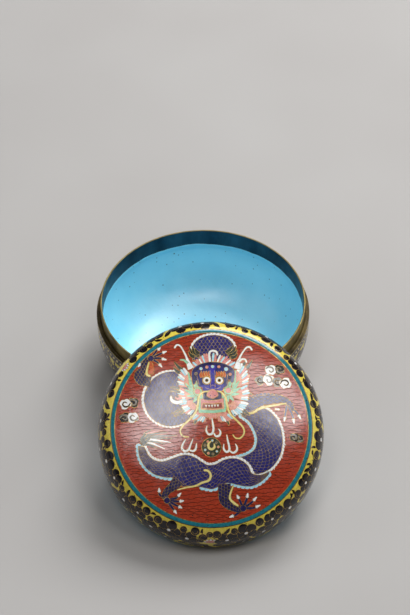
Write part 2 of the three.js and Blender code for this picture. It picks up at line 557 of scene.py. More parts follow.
for row in range(-29, 30):
    y = row * WAVE_PITCH
    half = math.sqrt(max(PICTURE ** 2 - y ** 2, 0)) - 1
    if half > 3:
        xs = np.linspace(-half, half, round(half * 2 / 1.3))
        for k in range(0, len(xs) - 1, WAVE_STEPS):
            wire = [complex(x, y + wave(x, row)) for x in xs[k:k + WAVE_STEPS + 1]]
            if len(wire) > 1:
                lid_design.lay(stroke(wire, [0.25, 0.25]), "wave wire", GROUND)

# %% The coils behind the head
hump_edge = arc(2.8 + 39.6j, 10.5, 172, 6, flat=0.7)
lid_design.scallops(hump_edge, 1.75, 1.2, "white")
hump = lid_design.cell(hump_edge + [13.2 + 34j, -8 + 34j], "scale blue")
lid_design.scales(lambda u, v: complex(-8 + 22 * v, 47.4 - 14 * u), 14, 22, 2.0, hump)

COIL = -19.5 + 14.4j
lid_design.scallops(arc(COIL, 13.5, 68, 296), 1.75, 1.35, "white")
coil = lid_design.cell(arc(COIL, 13.5, flat=1.03), "scale blue")
lid_design.scales(lambda u, v: COIL + complex(-14 + 28 * v, 14 - 28 * u), 28, 28, 2.0, coil)


# %% The S of the body, the lower body and the tail
def strip(left, right):
    """What lies between two lines: its outline, and its places by share along and share across."""
    left, right = smooth(left), smooth(right)

    def place(u, v):
        near, far = along(left, u), along(right, u)
        return near + (far - near) * v

    return left + right[::-1], place


belly = [15 + 4j, 18.5 + 1.2j, 21 - 3j, 22.2 - 8j, 20.8 - 12.8j, 17 - 15.6j, 12 - 17j]
back = [24 + 8.5j, 29.5 + 5.5j, 33 + 0.8j, 34.6 - 5j, 34.6 - 11j, 32.5 - 17.5j, 28 - 22.6j, 22.5 - 25j,
        17.5 - 24.5j]
lid_design.scallops(smooth(belly), 1.9, 1.35, "pale blue")
lid_design.scallops(smooth(back), 1.6, 1.2, "white", 4)
outline, place = strip(belly, back)
s_body = lid_design.cell(outline, "scale blue")
lid_design.scales(place, 46, 12, 2.0, s_body)

ridge = [27.5 - 24.3j, 23 - 25.8j, 18.5 - 24.8j, 17 - 21.3j, 13.8 - 18.4j, 9.5 - 17.2j, 5 - 17.9j, 1 - 19.8j,
         -3 - 20j, -6.5 - 17.8j, -10.5 - 15.2j, -15 - 14.5j, -20 - 15.8j, -25 - 17.1j, -29 - 16.2j,
         -32 - 13.6j, -34 - 9.2j]
under = [26.8 - 25.6j, 23 - 29j, 18 - 31j, 12.5 - 30.4j, 7 - 29j, 3 - 29.9j, -1 - 31.6j, -6 - 30.6j,
         -12 - 29.6j, -17 - 29.4j, -20 - 25.5j, -25 - 24.6j, -30 - 22.6j, -34 - 18.8j, -36.4 - 14j,
         -36.8 - 8.8j]
lid_design.scallops(smooth(under[:8]), 2.1, 1.35, "pale blue")
lid_design.scallops(smooth(under[10:]), 2.0, 1.3, "pale blue")
lid_design.scallops(smooth(ridge[2:]), 1.75, 1.25, "white", 6)
outline, place = strip(ridge, under)
low_body = lid_design.cell(outline, "scale blue")
lid_design.scales(place, 74, 12, 2.0, low_body)

# The tail's hair: thin strands that leave the tip together and fan out.
TAIL_TIP = -34.8 - 8.2j
STRANDS = [(-33.4 - 2.6j, -29.6 - 0.6j, "moss"), (-32.6 - 2.8j, -24.6 - 1.6j, "pink"),
           (-32 - 3.4j, -22 - 2.6j, "moss"), (-31.4 - 4.2j, -17.4 - 4.6j, "grey"),
           (-30.6 - 5j, -20 - 5.8j, "moss"), (-30 - 5.8j, -20.6 - 7.8j, "white"),
           (-29.6 - 6.8j, -23.6 - 8.2j, "moss"), (-29.8 - 7.8j, -23.8 - 10.8j, "white"),
           (-30.4 - 8.8j, -27.4 - 10.4j, "moss")]
for bend, tip, colour in STRANDS:
    strand = [TAIL_TIP, (TAIL_TIP + bend) / 2 + 0.4j, bend, tip]
    lid_design.lock(strand, [1.0, 1.0, 0.8, 0.2], colour, 0, wire=0.07)
for bend in (-35 - 5j, -33.6 - 5.2j, -32.4 - 6.2j):
    lid_design.lock([TAIL_TIP, bend, bend + 2.2 + 2.2j], [1.4, 1.5, 0.4], "moss", wire=0.1)


# %% Legs, toes and claws
def toe(design, palm, knuckle, tip, filling="navy"):
    """A toe and its short claw, which has a spur on each side."""
    root = knuckle + (tip - knuckle) * 0.35
    way = (tip - knuckle) / abs(tip - knuckle)
    design.lock([palm, (palm + knuckle) / 2, knuckle, root], [1.3, 1.1, 1.0, 0.8], filling)
    for side in (-1, 1):
        design.lock([root, root + way * (0.5 + 0.7j * side)], [0.7, 0.4], "white", wire=0.1)
    design.lock([root, (root + tip) / 2, tip], [0.9, 1.1, 0.5], "white", wire=0.1)


def leg(design, line, widths, palm, toes):
    """A leg and a foot. Its net of scales follows the leg and reaches past it on every side."""
    for knuckle, tip in toes:
        toe(design, palm, knuckle, tip)
    limb = design.lock(line, widths, "navy")
    way = (line[-1] - line[0]) / abs(line[-1] - line[0])
    design.scales(lambda u, v: line[0] + way * complex(23.1 * u - 7.3, 10.2 - 20.3 * v), 23, 20, 1.7, limb)
    design.cell(arc(palm, 1.5, steps=10), "navy")


leg(lid_design, [-29.6 + 24j, -34 + 25.4j, -35 + 28j, -32.8 + 30.6j, -32.4 + 33.6j, -30 + 36j],
    [5, 6, 5.4, 3.6, 3, 2.8], -29 + 36.2j,
    [(-26 + 40j, -24 + 41.6j), (-24 + 38.4j, -21 + 39.4j), (-24.6 + 36j, -21.2 + 34.9j),
     (-25.6 + 33.8j, -23.6 + 31.2j), (-33.4 + 34.6j, -35.6 + 32.2j)])
leg(lid_design, [-17.6 - 26.6j, -20.4 - 29.4j, -23.4 - 31.6j, -25 - 34.2j], [6.4, 4.4, 3.4, 3], -23.8 - 36.2j,
    [(-27.4 - 33j, -27.4 - 30j), (-19 - 35.2j, -16.8 - 33j), (-18.6 - 37j, -15.6 - 36.8j),
     (-19 - 39j, -16.6 - 40.2j), (-21 - 40.4j, -19.4 - 42.8j)])
leg(lid_design, [4.8 - 29.5j, 4.8 - 33j, 5 - 37j, 7.6 - 40.4j, 12 - 42.4j], [6, 6.2, 6, 4, 2.8], 13.6 - 41.8j,
    [(12 - 37.8j, 10.8 - 35.2j), (15.4 - 37.6j, 16.2 - 34.6j), (18 - 39j, 20.4 - 36.6j),
     (18.6 - 41.8j, 22 - 40.6j), (9.8 - 44.8j, 6.6 - 45.8j)])
elbow = [-30.4 + 34.4j, -31 + 29j, -28.4 + 27.8j, -27.6 + 30j, -28.6 + 34j]
lid_design.cell(smooth(elbow, closed=True), "orange")
for vein in ([-30 + 34.4j, -31.4 + 28.4j, -29.8 + 26.8j], [9.2 - 30.6j, 7.2 - 36.6j, 11 - 40.4j],
             [-18.5 - 31.3j, -14 - 30.4j, -9.5 - 29.8j, -6 - 28.4j, -2.8 - 27.4j, -1.7 - 25j, -2.8 - 22.8j,
              -4.8 - 22.4j]):
    lid_design.lock(vein, [0.5, 0.7, 0.9, 1.1, 0.8], "straw")

# %% The right arm
lid_design.scallops(smooth([20 + 12.6j, 26 + 14.4j, 33 + 13.8j]), 1.9, 0.9, "scale blue")
arm = [14.6 + 7.4j, 20 + 9.6j, 25 + 11.4j, 31 + 12j, 36.6 + 11.8j, 40 + 9.4j, 41.2 + 6.4j]
for knuckle, tip in ((37 + 4j, 36.3 + 0.8j), (40.8 + 3.2j, 41.2 - 0.4j), (43 + 5j, 44.9 + 1.6j)):
    toe(lid_design, 38.4 + 10j, knuckle, tip, "scale blue")
lid_design.lock([34.2 + 12.8j, 35.8 + 13.8j], [1.4, 0.8], "white")
lid_design.lock([32 + 7j, 34 + 6.8j], [0.7, 1], "white")
right_arm = lid_design.lock(arm, [6.4, 6.2, 5.4, 4.6, 3.8, 2.6, 1.4], "scale blue")
lid_design.scales(lambda u, v: complex(14 + 28 * u, 16 - 11 * v), 28, 11, 2.0, right_arm)
lid_design.lock([17.6 + 4.9j, 21 + 5.5j, 24.5 + 7.5j, 29 + 8.5j, 34 + 9.2j, 37.6 + 9.8j],
                [0.7, 1, 1, 0.8, 0.5], "straw")

# %% The pearl and its flames
PEARL = -0.7 - 11.2j
lid_design.cell(arc(PEARL, 4.7, steps=32), "moss")
for k in range(9):
    spot = PEARL + 3.35 * toward(k * 2 * math.pi / 9)
    lid_design.cell(arc(spot, 0.5, steps=8), ("pink", "grey", "pale blue")[k % 3])
pearl_curl = [PEARL - 0.2 + 2.9j, PEARL - 1.4 + 1.8j, PEARL - 1.3 - 0.2j, PEARL + 0.1 - 1j,
              PEARL + 1.5 - 0.1j, PEARL + 1.4 + 1.6j]
lid_design.lock(pearl_curl, [0.3, 0.9, 1, 1, 0.9, 0.4], "straw")
FLAMES = [
    ([-2.3 - 0.4j, -2.9 - 2.6j, -1.9 - 4.6j, -0.1 - 4.4j, 0.7 - 2.2j, 0.5 + 1j, 0.2 + 3.6j],
     [0.8 - 4.2j, 1.8 - 5.8j, 3.6 - 5.4j, 4.1 - 3.6j, 3.2 - 2.2j]),
    ([-13.2 - 6.6j, -14.8 - 9j, -15.3 - 11.2j, -13.8 - 12.5j, -12 - 11.8j, -11 - 9.6j, -9.6 - 6.6j],
     [-11.8 - 11.9j, -10 - 12.7j, -8.5 - 11.6j, -8 - 9j]),
    ([5.5 - 9.8j, 5.3 - 12.2j, 6.6 - 13.8j, 8 - 13j, 8 - 10.6j, 7.5 - 8j, 7.2 - 5.4j],
     [8.2 - 13.2j, 9.8 - 14.4j, 11.6 - 13.4j, 11.9 - 11.6j, 11.2 - 10j]),
]
for bowl_and_tongue, hook in FLAMES:
    lid_design.lock(hook, [0.5, 0.9, 1, 0.8, 0.25], "white")
    lid_design.lock(bowl_and_tongue, [0.3, 0.8, 1, 1, 0.9, 0.7, 0.25], "white")


# %% The clouds
def puff(design, centre, size, turn, filling, curl):
    """A round puff of cloud with a curl in it, turned by an angle."""
    way = toward(math.radians(turn)) * size

    def put(points):
        return [centre + way * p for p in points]

    edge = [1.0, 0.7 + 0.75j, 0.1 + 0.8j, -0.4 + 0.95j, -0.95 + 0.5j, -0.85 - 0.1j, -0.9 - 0.65j,
            -0.2 - 0.95j, 0.3 - 0.75j, 0.85 - 0.7j]
    design.cell(put(smooth(edge, closed=True, step=0.25)), filling, wire=0.14)
    design.lock(put([0.9 - 0.2j, 0.4 - 0.6j, -0.3 - 0.45j, -0.5 + 0.15j, -0.05 + 0.45j, 0.3 + 0.1j]),
                [0.4, 0.75, 0.8, 0.7, 0.6, 0.4], curl, wire=0.08)


CLOUDS = [(-38.6 + 13.6j, 2.6, 160, "black", "grey"), (-42.6 + 13.2j, 2.7, 20, "white", "black"),
          (-43.2 + 6.2j, 2.6, 190, "black", "grey"), (-39 + 6j, 2.7, 10, "white", "grey"),
          (35.6 + 27.6j, 2.6, 0, "black", "grey"), (31.1 + 27.4j, 2.7, 180, "white", "grey"),
          (25.4 + 22j, 2.5, 30, "grey", "black"), (29.8 + 22.2j, 2.9, 140, "white", "grey"),
          (34.2 + 21j, 2.6, 20, "grey", "black"), (38.2 + 20.3j, 2.9, 200, "white", "black"),
          (43.2 - 8.2j, 2.2, -10, "black", "grey"), (40.9 - 7.5j, 2.2, 170, "black", "grey")]
for centre, size, turn, filling, curl in CLOUDS:
    puff(lid_design, centre, size, turn, filling, curl)

# %% The mane
TUFTS = [[-12.6 + 28.6j, -14.8 + 30.2j, -17.2 + 33.4j], [-13 + 27.4j, -15.8 + 28.2j, -17.6 + 30.6j],
         [16.8 + 28.2j, 19.6 + 29.2j, 22 + 32.6j], [16 + 29.4j, 17.6 + 30.4j, 19 + 32.6j],
         [-6.6 + 4j, -8 + 2.2j, -8.4 + 0.6j], [6.8 + 3.4j, 8 + 1.6j, 8.4 - 0.4j],
         [14.4 + 7.4j, 16.6 + 6.4j, 19 + 4.2j], [14 + 6.4j, 15.6 + 5.2j, 17 + 3.6j],
         [16 + 15.4j, 19 + 15.6j, 21 + 14.6j]]
SIDE_TUFTS = [[-4.6 + 36j, -7.6 + 37.4j, -9.4 + 41j], [-5.4 + 36.6j, -7.2 + 38.4j, -7.8 + 41.4j],
              [-4.6 + 37.2j, -5.8 + 38.4j, -6.4 + 40.2j], [-7 + 35.6j, -8.6 + 36.4j, -9.8 + 38.6j],
              [9.6 + 36.4j, 12.4 + 37.6j, 14.2 + 40.4j], [10.4 + 35.4j, 13 + 36.4j, 14.6 + 38.4j],
              [9 + 37.4j, 11 + 38.6j, 12.6 + 40.8j], [11.4 + 34.4j, 13.4 + 34.8j, 14.6 + 36.4j]]
for tuft in TUFTS + SIDE_TUFTS:
    lid_design.lock(tuft, [1.6, 1.5, 0.3], "moss")

FANS = [  # middle, first and last direction, first and last reach, locks, and the colours of their tips
    (-6.5 + 20.5j, 184, 128, 8.8, 11.6, 9, ["pink", "pale blue", "white"]),
    (-6.5 + 15.5j, 200, 160, 9.3, 9.6, 6, ["pale blue", "white", "pink"]),
    (-5.5 + 13j, 241, 188, 9.0, 9.6, 9, ["pale blue", "white", "pink", "pale blue"]),
    (9.4 + 19.5j, 2, 54, 10.0, 13.4, 9, ["pink", "pale blue", "white"]),
    (9 + 15j, -22, 20, 10.2, 10.4, 7, ["pale blue", "white", "pink"]),
    (8 + 13j, -72, -20, 9.6, 10.4, 8, ["pale blue", "white", "pale blue"]),
    (0.9 + 9.4j, 290, 250, 5.8, 6.2, 4, ["pink"]),
    (-1.8 + 9.5j, 264, 217, 7.6, 9.6, 7, ["pink", "pale blue", "white", "pale blue"]),
    (3.6 + 9.5j, -96, -49, 7.4, 9.4, 7, ["pink", "pink", "pale blue", "white"]),
    (1.9 + 24j, 147, 33, 12.4, 13.2, 23, ["pink", "pale blue", "pink", "pink", "white"]),
]
for k, (middle, first, last, near, far, count, tips) in enumerate(FANS):
    inner = 8.2 if k == len(FANS) - 1 else 3.2  # the last fan is the crown, on top of the head
    for j in range(count):
        t = j / (count - 1)
        angle = math.radians(first + (last - first) * t)
        way = toward(angle)
        reach = (near + (far - near) * t) * random.uniform(0.94, 1.04)
        breadth = abs(math.radians(last - first)) * reach / (count - 1)
        curl = way * 1j * (0.8 if last > first else -0.8)
        line = [middle + way * inner, middle + way * reach * 0.6 + curl * 0.3, middle + way * reach + curl]
        lid_design.lock(line, [breadth * 0.6, breadth * 0.95, breadth * 0.8], "pink", 0.6, wire=0.12)
        if tips[j % len(tips)] != "pink":
            lid_design.lock([line[1] * 0.8 + line[2] * 0.2, line[1] * 0.4 + line[2] * 0.6, line[2]],
                            [breadth * 0.95, breadth, breadth * 0.8], tips[j % len(tips)], 0.6, wire=0.12)

# %% The antlers and the stray curls
for antler in ([-9 + 29.4j, -10.2 + 32.6j, -11.2 + 36.2j, -12.6 + 39.6j, -14 + 42j, -15.6 + 42.6j,
                -16.7 + 41.2j],
               [14 + 28.4j, 15 + 32j, 16.2 + 35j, 18 + 37.8j, 19.8 + 39.8j, 21.5 + 39.7j, 22.2 + 38.4j]):
    lid_design.lock(antler, [3.2, 2.2, 1, 0.7, 0.65, 0.8, 0.9], "white")
lid_design.lock([-10.6 + 32.4j, -12.4 + 34.2j, -14.2 + 34.4j], [1.2, 1, 0.4], "mint")
lid_design.lock([15.2 + 32j, 16.8 + 33.4j, 18.6 + 33.2j, 19.1 + 31.8j], [1.1, 0.9, 0.8, 0.7], "white")
lid_design.lock([0.4 + 36.4j, 1 + 38j, 2.6 + 38.5j, 4.2 + 37.8j, 4.6 + 36.2j], [1, 0.9, 1, 0.9, 1], "white")
lid_design.lock([-14 + 12.6j, -17 + 12.2j, -19.4 + 13.6j, -19.6 + 15.6j], [1, 1.7, 1.6, 0.6], "white")
lid_design.lock([-14.4 + 14.6j, -16.4 + 14j, -17.4 + 15j], [1.4, 1.1, 0.5], "pink")
for stray in ([-15 + 17.4j, -18 + 18.4j, -21 + 17.8j], [-15.2 + 19j, -17.6 + 20j, -19.6 + 20j],
              [-14.2 + 9j, -17 + 7.6j, -20 + 6.6j], [-13.6 + 7.4j, -16 + 6.2j, -18.4 + 5.2j]):
    lid_design.lock(stray, [1.1, 0.9, 0.2], "moss")


# %% The cheeks and the mask
def mirrored(points):
    """The same points on the other side of the line down the face."""
    return [complex(2 * FACE_MIDDLE - p.real, p.imag) for p in points]


FACE_MIDDLE = 1.4
for flip in (mirrored, list):
    for root, tip in ((11.6 + 16.4j, 13.2 + 27.4j), (10.4 + 16j, 14.8 + 21.8j), (10.8 + 16j, 15.2 + 18.4j),
                      (10.2 + 15.2j, 14.4 + 15.2j), (9 + 18j, 11.4 + 23.4j), (8.2 + 18.4j, 9.2 + 23.6j),
                      (9.2 + 14.6j, 11.4 + 12j), (8.4 + 14.6j, 8.8 + 11.6j)):
        lid_design.lock(flip([root, (root + tip) / 2, tip]), [1.8, 1.5, 0.5], "mint")
    lid_design.cell(flip(arc(9 + 17.2j, 2.1)), "mint")
    lid_design.cell(flip(arc(9.1 + 17.3j, 1.3, steps=14)), "pink")

mask_edge = smooth([-8 + 29j, -4 + 31.6j, 1.6 + 32.4j, 7 + 31.6j, 12 + 28.6j, 12.7 + 25j, 11.4 + 21j,
                    9.6 + 23j, 8.6 + 19.8j, 6.6 + 18.6j, 5.8 + 17.2j, -2.8 + 17.2j, -3.8 + 19.4j,
                    -5.6 + 20j, -6.4 + 23.2j, -8 + 20.8j, -8.8 + 25j], closed=True)
mask = lid_design.cell(mask_edge, "scale blue")
for bright in ([1.6 + 18j, 1.5 + 25j, 1.6 + 31.4j], [-4.4 + 19j, 1.5 + 18.8j, 7.2 + 18.8j]):
    lid_design.lay(stroke(smooth(bright), [3.4, 2.6, 4]), "violet", mask)
for dark in ([-7.4 + 27.6j, -4 + 30.6j, 1.6 + 31.6j, 7 + 30.6j, 11.6 + 27.4j], [-7.6 + 22j, -7 + 27j],
             [10.4 + 22j, 10.4 + 26.6j]):
    lid_design.lay(stroke(smooth(dark), [1.2, 1.6, 1.2]), "navy", mask)
for furrow in ([-5.4 + 20.8j, -6.2 + 26j], [8.6 + 20.8j, 9.2 + 26j], [0.4 + 19j, 0.2 + 24j, 0.6 + 28j],
               [2.6 + 19j, 2.8 + 24j, 2.6 + 28j], [0.2 + 19.6j, 1.5 + 20.4j, 2.9 + 19.4j],
               [-2.6 + 19.6j, -1 + 18.4j, 1.4 + 18.2j, 4 + 18.4j, 5.4 + 19.4j]):
    lid_design.line(furrow, 0.18, clip=mask)
for spot, size, colour in ((-6.6 + 26.6j, 0.7, "grey"), (-4 + 29.2j, 0.75, "pale blue"),
                           (-1 + 29.9j, 0.65, "pink"), (1.9 + 30j, 0.75, "pale blue"),
                           (5 + 29.8j, 0.65, "pink"), (8.6 + 28.4j, 1, "pale blue"),
                           (10.5 + 25.6j, 0.7, "pink")):
    lid_design.cell(arc(spot, size, steps=10), colour, wire=0.16)

# %% The eyes and the brows
for eye, out in ((-1.4 + 22.9j, -1), (4.9 + 22.6j, 1)):
    for k in range(4):
        root = eye + complex(out * (k - 1.1) * 1.25, 1.8)
        lid_design.lock([root, root + complex(out * 0.5, 1.2), root + complex(out * 0.1, 2.8)],
                        [1.3, 1.1, 0.3], "orange")
    lid_design.cell(arc(eye, 2.1, steps=22), "black")
    lid_design.cell(arc(eye, 1.75, steps=20), "white")
    lid_design.cell(arc(eye, 0.7, steps=10), "black")

# %% The muzzle: lips round a mouth with teeth, and the nose above them
lid_design.cell([-5.4 + 15.4j, -6.6 + 10j, -6 + 6.4j, 1 + 5.9j, 7.2 + 6.3j, 8.2 + 10j, 7.8 + 15.4j, 5 + 16j,
                 -2 + 16j], "mint")
lid_design.cell([-4.8 + 13.4j, -4.9 + 8.2j, 1 + 7.5j, 6.4 + 8j, 6.4 + 13.2j, 1 + 12.6j], "pink")
lid_design.cell([-3.8 + 11j, -4.3 + 8.7j, 1 + 8.1j, 5.7 + 8.5j, 5.4 + 10.9j, 1 + 10.5j], "lip red")
for k in range(5):
    lid_design.cell([complex(-2.8 + 1.45 * k + dx, 9.5 + dy) for dx, dy in ((0, 0.6), (1, 0.6), (0.5, -0.6))],
                    "white", wire=0.12)
for snout, colour in (([-3.2 + 16.4j, -3.2 + 13.2j, 1 + 12.6j, 5.2 + 13.2j, 5.2 + 16.2j, 1 + 16.8j], "navy"),
                      ([-0.8 + 17j, -1.6 + 14.8j, 1.1 + 13.5j, 3.7 + 14.8j, 3.2 + 17j, 1.2 + 17.9j], "pink")):
    lid_design.cell(smooth(snout, closed=True), colour)
for nostril in (0.1 + 14.9j, 2.3 + 14.9j):
    lid_design.lay(arc(nostril, 0.3, steps=7), "navy")
WHISKERS = [[-0.6 + 17.2j, -3.6 + 16.8j, -5.6 + 14.6j, -6.4 + 10.6j, -7.6 + 7j, -10.8 + 3.2j, -14.4 + 0.2j,
             -15.8 - 2.6j, -14.4 - 5j, -11.8 - 5.5j],
            [3.4 + 17.2j, 5.8 + 16.2j, 7.6 + 13.2j, 8.2 + 9j, 9.4 + 5.2j, 12.8 + 1.4j, 15.4 - 1.8j,
             15.8 - 4.8j, 13.8 - 7.2j, 11.4 - 7j, 10.2 - 5.4j]]
for whisker in WHISKERS:
    lid_design.lock(whisker, [0.4, 0.75, 0.8, 0.8, 0.75, 0.7, 0.6, 0.3], "straw")
print(len(lid_design.outlines), "shapes in the lid's picture")

# %% [markdown]
# The side of the lid and the side of the box carry the same stuff: black plum blossom, buds and leaves
# on yellow. On the real one they are set by eye, so here a seeded draw packs them: large blossoms first,
# then whatever still fits. They are drawn on the unrolled side, where x is the way round and y the way
# down, and then wrapped on.


# %% Plum blossom for the sides
def petals(centre, size, turn):
    """The middles of a blossom's five petals."""
    return [centre + size * 0.56 * toward(a)
            for a in (turn + k * 2 * math.pi / 5 for k in range(5))]


def blossom(design, centre, size, turn):
    """Five round petals, the joins between them, and a light heart."""
    for middle in petals(centre, size, turn):
        design.cell(arc(middle, size * 0.44, steps=16), "black", wire=0.18)
    design.lay(arc(centre, size * 0.42, steps=12), "black")
    for middle in petals(centre, size, turn + math.pi / 5):
        design.line([centre + (middle - centre) * 0.35, centre + (middle - centre) * 0.8], 0.14)
    design.cell(arc(centre, size * 0.15, steps=9), "white", wire=0.14)


def leaf(design, centre, size, turn):
    """A pointed leaf with its vein."""
    way = toward(turn) * size
    ends = [centre - way, centre - way * 0.3 + 0.2j * way, centre + way * 0.4 + 0.2j * way, centre + way]
    design.lock(ends, [0.2, size * 0.75, size * 0.8, 0.1], "black", 0)
    if size > 3:
        design.line(ends[1:3], 0.13)


def bud(design, centre, size, turn):
    """A round bud in its cup."""
    design.cell(arc(centre, size * 0.86, steps=16), "black")
    design.line(arc(centre, size * 0.5, math.degrees(turn), math.degrees(turn) + 200, steps=5), 0.14)


def lotus(design, centre, size, turn):
    """A small flower with pink petals and white tips."""
    for k, angle in enumerate((-70, 70, -36, 36, 0)):
        way = -1j * toward(math.radians(angle)) * size
        design.lock([centre, centre + way * 0.5, centre + way], [size * 0.3, size * 0.55, 0.3], "pink", 0)
        design.lock([centre + way * 0.55, centre + way * 0.95], [size * 0.35, 0.3], "white", 0)


def flowered(design, around, low, high, seed, first=()):
    """Packs blossoms, buds and leaves on the unrolled side between two heights."""
    draw = random.Random(seed)
    taken = [(centre, size) for centre, size in first]
    motifs = [(lotus, centre, size, 0) for centre, size in first]
    for size, tries, shape in ((6.6, 900, blossom), (5.2, 700, blossom), (2.7, 900, bud), (3.3, 1500, leaf),
                               (2.1, 900, bud), (2.2, 2500, leaf), (1.4, 1500, leaf)):
        for _ in range(tries):
            centre = complex(draw.uniform(0, around), draw.uniform(low + size * 0.8, high - size * 0.75))
            turn = draw.uniform(0, 2 * math.pi)
            gaps = [complex((centre.real - c.real + around / 2) % around - around / 2, centre.imag - c.imag)
                    for c, _ in taken]
            if all(abs(gap) > (size + other) * 0.78 for gap, (_, other) in zip(gaps, taken)):
                taken.append((centre, size))
                motifs.append((shape, centre, size, turn))
    for shape, centre, size, turn in motifs:  # a twig from each small motif towards the nearest blossom
        if shape in (bud, leaf):
            reaches = (c - centre for s, c, _, _ in motifs if s is blossom and abs(c - centre) > 1)
            reach = min(reaches, key=abs)
            if abs(reach) < 14:
                bow = centre + reach * 0.5 + reach * 0.12j
                design.lay(stroke(smooth([centre, bow, centre + reach]), [0.6, 0.5, 0.7]), "black")
    for shape, centre, size, turn in motifs:
        shape(design, centre, size, turn)
    return len(motifs)


def wrapped(start, radius):
    """How a place on the unrolled side, x round and y away from the middle, goes onto the flat disc."""
    def place(point):
        angle = point.real / radius
        return (start + point.imag) * toward(angle)
    return place


RING_EDGE = lid_design.furthest  # length along the profile at which the lid's side starts
side_design = Design(RING_EDGE + 0.1, lid_profile.length - 0.25)
side_design.place = wrapped(RING_EDGE, RADIUS)
side_height = lid_profile.length - RING_EDGE
FRONT, BACK_LEFT = math.radians(267), math.radians(142)
count = flowered(side_design, 2 * math.pi * RADIUS, 0.4, side_height - 0.3, 11,
                 [(complex(FRONT * RADIUS, 11), 4.2), (complex(BACK_LEFT * RADIUS, 4.5), 3.4)])
print(count, "motifs on the lid's side,", len(side_design.outlines), "shapes")

# %% [markdown]
# Now the flat design becomes skin. Each cell could float above the shell as a sheet of its own, but a
# constrained triangulation cuts them all into one surface, so the cells meet edge to edge as they do
# after polishing. Each triangle takes the filling of the last shape laid over it. The flat distance from
# the middle is the length along the profile, which bends the disc onto the shell.

# %% From a flat design to a skin
RIM_STEPS = 360
LARGE = 25  # square millimetres from which a shape may hide others


def faces_between(low, high):
    """The faces between two rings of point numbers. A ring of one repeated number is a tip."""
    return [list(dict.fromkeys((low[i], low[i - 1], high[i - 1], high[i]))) for i in range(len(low))]


def ring_of(reach):
    """Evenly spaced places round the middle."""
    return [reach * toward(t) for t in np.arange(RIM_STEPS) * 2 * math.pi / RIM_STEPS]


def loose_places(profile, start, stop, spacing):
    """Places that give the skin its curve where the design has no lines."""
    places = []
    for s in np.arange(start + spacing, stop - spacing / 2, spacing):
        count = max(6, round(2 * math.pi * float(profile.at(s)[0]) / spacing))
        turns = (np.arange(count) + random.random()) * 2 * math.pi / count
        places += [s * toward(t) for t in turns]
    return places


def without_hidden(design):
    """Leaves out the shapes that lie wholly behind one large later shape, which would only cost triangles."""
    sizes = [abs(sum((o[i - 1].conjugate() * o[i]).imag for i in range(len(o)))) / 2 for o in design.outlines]
    large = [k for k, size in enumerate(sizes) if size > LARGE and design.clips[k] is None]
    needed = set(large) | {k for k in design.clips if k is not None}

    def limits(values):
        return min(values), max(values)

    boxes = {j: limits([p.real for p in design.outlines[j]]) + limits([p.imag for p in design.outlines[j]])
             for j in large}

    def behind(k, j):
        outline, (left, right, low, high) = design.outlines[k], boxes[j]
        first = outline[0]
        if k >= j or not (left < first.real < right and low < first.imag < high):
            return False
        return bool(inside(design.outlines[j], outline).all())

    kept = [k for k in range(len(design.outlines)) if k in needed or not any(behind(k, j) for j in large)]
    places = {k: i for i, k in enumerate(kept)}
    design.outlines, design.fillings = [design.outlines[k] for k in kept], [design.fillings[k] for k in kept]
    design.clips = [places.get(design.clips[k]) for k in kept]


def cut_skin(design, inner, outer, ground, loose):
    """The design cut into triangles between two rings: flat places, triangles and their fillings."""
    without_hidden(design)
    frames = [ring_of(outer)] + ([ring_of(inner)] if inner else [])
    flat, faces = [], []
    for outline in frames + design.outlines:
        faces.append(list(range(len(flat), len(flat) + len(outline))))
        flat += outline
    flat += loose
    places, _, triangles, _, _, owners = delaunay_2d_cdt(
        [Vector((p.real, p.imag)) for p in flat], [], faces, 1, 1e-5, True)
    first = len(frames)
    kept, fillings = [], []
    for triangle, owner in zip(triangles, owners):
        shapes_here = set(owner)
        if inner and 1 in shapes_here:
            continue
        shapes = [k - first for k in owner if k >= first]
        seen = [k for k in shapes if design.clips[k] is None or design.clips[k] + first in shapes_here]
        top = max(seen, default=None)
        kept.append(triangle)
        fillings.append(ground if top is None else design.fillings[top])
    used, kept = np.unique(np.array(kept), return_inverse=True)
    return np.array([complex(places[i].x, places[i].y) for i in used]), kept.reshape(-1, 3), fillings


def on_profile(profile, flat, depth=0.0):
    """Points and normals on the turned skin, or at a depth below it, for flat places."""
    s = np.abs(flat)
    way = np.where(s > 1e-9, flat / np.maximum(s, 1e-9), 1)
    (radius, height), (n_out, n_up) = profile.at(s), profile.normal_at(s)
    radius, height = radius - depth * n_out, height - depth * n_up
    points = np.c_[way.real * radius, way.imag * radius, height]
    return points, np.c_[way.real * n_out, way.imag * n_out, n_up]


def ring_indices(flat, reach):
    """Which of the places lie on a ring, in order round it."""
    on_ring = [i for i in range(len(flat)) if abs(abs(flat[i]) - reach) < 1e-3]
    steps_round = RIM_STEPS / (2 * math.pi)
    on_ring.sort(key=lambda i: round(math.atan2(flat[i].imag, flat[i].real) * steps_round) % RIM_STEPS)
    assert len(on_ring) == RIM_STEPS, f"a shape cuts the ring at {reach:.2f}: {len(on_ring)} points"
    return on_ring


